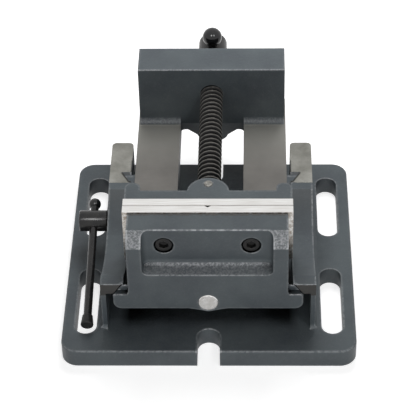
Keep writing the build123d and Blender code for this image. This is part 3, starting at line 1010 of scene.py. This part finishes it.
# The lead screw's head starts as far ahead of the bar's middle as it ends behind it
head_front = 2 * centre_of("handle_bar").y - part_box("lead_screw")[1].y
lead_thread = (centre_of("lead_screw").z, crest_radius, head_front - head_clear)

body_paint = painted_iron("enamelled_body_iron", bare_iron_of_body, rough_and_highlit_faces_of_body,
                          stain=dirt_at_plate)
# On the base, the stain is painted shade on the cheeks' rims.
base_paint = painted_iron("enamelled_base_iron", bare_iron_of_base, stain=rim_painted_shade,
                          without_edge_highlight=toe_pockets)
jaw_paint = painted_iron("enamelled_jaw_iron")
plate_steel = ground_steel("ground_jaw_plate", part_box("fixed_jaw_plate")[1].y)
rod_steel = turned_steel("turned_guide_rod", centre_of("guide_rod"))
pin_steel = dull_steel("dull_pin")
blackened = black_oxide("blackened_steel")
screw_black = black_oxide("blackened_screw_thread", sheen=(0.36, 0.5), thread=lead_thread)
bar_black = black_oxide("blackened_bar", sheen=(0.14, 0.24), shine=0.45)
black_knob = knob_plastic("black_knob")
pad_brass = brass("brass_pad")

for node, body, slot, material, width in (
    ("base_casting", "base", "painted_iron", base_paint, casting_round),
    ("body_casting", "vise_body", "painted_iron", body_paint, casting_round),
    ("movable_jaw", "sliding_jaw", "painted_iron", jaw_paint, casting_round),
    ("fixed_jaw_plate", "vise_body", "ground_steel", plate_steel, plate_round),
    ("movable_jaw_plate", "sliding_jaw", "ground_steel", plate_steel, plate_round),
):
    rounded_piece(node, body, material, width)
make_lead_screw(screw_black, head_front)
make_lock_screw(bar_black)
screw_pair = pair_tree()
make_plate_screws(screw_pair, "fixed_jaw_screws", "vise_body", True, blackened)
make_plate_screws(screw_pair, "movable_jaw_screws", "sliding_jaw", False, blackened)
make_handle_balls(black_knob)
for node, body, slot, material in (
    ("guide_rod", "vise_body", "ground_steel", rod_steel),
    ("screw_retaining_pin", "sliding_jaw", "ground_steel", pin_steel),
    ("handle_bar", "screw_handle", "black_oxide", blackened),
    ("guide_rod_set_screw", "vise_body", "black_oxide", blackened),
    ("lock_pad", "lock_pad_body", "brass", pad_brass),
    ("lock_bar", "lock_handle", "black_oxide", bar_black),
    ("lock_bar_ball", "lock_handle", "black_plastic", black_knob),
    ("lock_bar_flare", "lock_handle", "black_oxide", blackened),
):
    finish_piece(merged_copy(node), node + "_smooth", body, material, node)


def grey(level):
    return (level, level, level, 1)


def seen_directly(tree):
    """1 for rays that end in the picture: from the camera, in a reflection or through glass."""
    path = tree.nodes.new("ShaderNodeLightPath")
    found = path.outputs["Is Camera Ray"]
    for kind in ("Is Glossy Ray", "Is Transmission Ray"):
        found = arith(tree, "MAXIMUM", found, path.outputs[kind])
    return found


def lit_and_seen(tree, lighting, seen, output):
    """One shader for the light that falls on the vise and another for what the picture shows."""
    mixed = new_node(tree, "ShaderNodeMixShader", {
        0: seen_directly(tree), 1: lighting.outputs[0], 2: seen.outputs[0]})
    out = tree.nodes.new(output)
    tree.links.new(mixed.outputs[0], out.inputs["Surface"])


def lay_floor():
    """A white floor that keeps the shadow of the vise."""
    bm = bmesh.new()
    bmesh.ops.create_grid(bm, x_segments=1, y_segments=1, size=floor_half)
    mesh = mesh_from(bm, "floor")
    floor = placed_in_scene("floor", mesh)
    floor.location.z = cad_low.z - floor_drop
    material = bpy.data.materials.new("white_floor")
    material.use_nodes = True
    tree = material.node_tree
    tree.nodes.clear()
    paper = new_node(tree, "ShaderNodeBsdfDiffuse", {"Color": grey(floor_bounce)})
    shown = new_node(tree, "ShaderNodeBsdfDiffuse", {"Color": grey(floor_seen)})
    glow = new_node(tree, "ShaderNodeEmission", {"Color": grey(1), "Strength": floor_glow})
    bright = new_node(tree, "ShaderNodeAddShader", {0: shown.outputs[0], 1: glow.outputs[0]})
    lit_and_seen(tree, paper, bright, "ShaderNodeOutputMaterial")
    mesh.materials.append(material)


def light_the_sky():
    """A dim sky that shows white."""
    world = bpy.data.worlds.new("studio")
    world.use_nodes = True
    tree = world.node_tree
    tree.nodes.clear()
    dim, white = (
        new_node(tree, "ShaderNodeBackground", {"Color": grey(1), "Strength": strength})
        for strength in (sky_strength, sky_seen))
    lit_and_seen(tree, dim, white, "ShaderNodeOutputWorld")
    bpy.context.scene.world = world


def hang_lamp(name, power, size, place):
    """A square soft lamp that faces the middle of the vise."""
    lamp = bpy.data.lights.new(name, "AREA")
    lamp.energy = power
    lamp.size = size
    holder = placed_in_scene(name, lamp)
    middle = (cad_low + cad_high) / 2
    holder.location = place
    holder.rotation_mode = "QUATERNION"
    holder.rotation_quaternion = (middle - holder.location).to_track_quat("-Z", "Y")
    return holder


def spot_place(direction):
    """The place at the spots' distance, in a direction given by its turn and its rise."""
    turn, rise = (math.radians(a) for a in direction)
    level = math.cos(rise)
    return spot_distance * Vector((math.sin(turn) * level, -math.cos(turn) * level, math.sin(rise)))


def hang_lamps():
    """Lamps that light the vise without showing in it, and two that only show as glints."""
    for lamp in (
        hang_lamp("key_lamp", key_power, key_size, key_place),
        hang_lamp("fill_lamp", fill_power, fill_size, fill_place),
        hang_lamp("right_spot", spot_power, spot_size, spot_place(right_direction)),
    ):
        lamp.visible_glossy = False
    for name, direction in (("left_glint", left_direction), ("right_glint", right_direction)):
        lamp = hang_lamp(name, glint_power, glint_size, spot_place(direction))
        lamp.visible_diffuse = False


def place_camera():
    """The camera at the picture's viewing angle, a little over 40 degrees down."""
    yaw, pitch, roll = (math.radians(a) for a in (camera_yaw, camera_pitch, camera_roll))
    level = math.cos(pitch)
    ahead = Vector((-math.sin(yaw) * level, math.cos(yaw) * level, math.sin(pitch)))
    right = Vector((math.cos(yaw), math.sin(yaw), 0))
    unrolled = Matrix((right, right.cross(ahead), -ahead)).transposed().to_4x4()
    lens = bpy.data.cameras.new("camera")
    lens.lens = camera_lens
    lens.sensor_width = sensor_width
    lens.clip_start, lens.clip_end = camera_near, camera_far
    holder = placed_in_scene("camera", lens)
    holder.matrix_world = (
        Matrix.Translation(camera_place) @ unrolled @ Matrix.Rotation(roll, 4, "Z"))
    bpy.context.scene.camera = holder


lay_floor()
light_the_sky()
hang_lamps()
place_camera()
bpy.context.scene.view_settings.view_transform = "Standard"
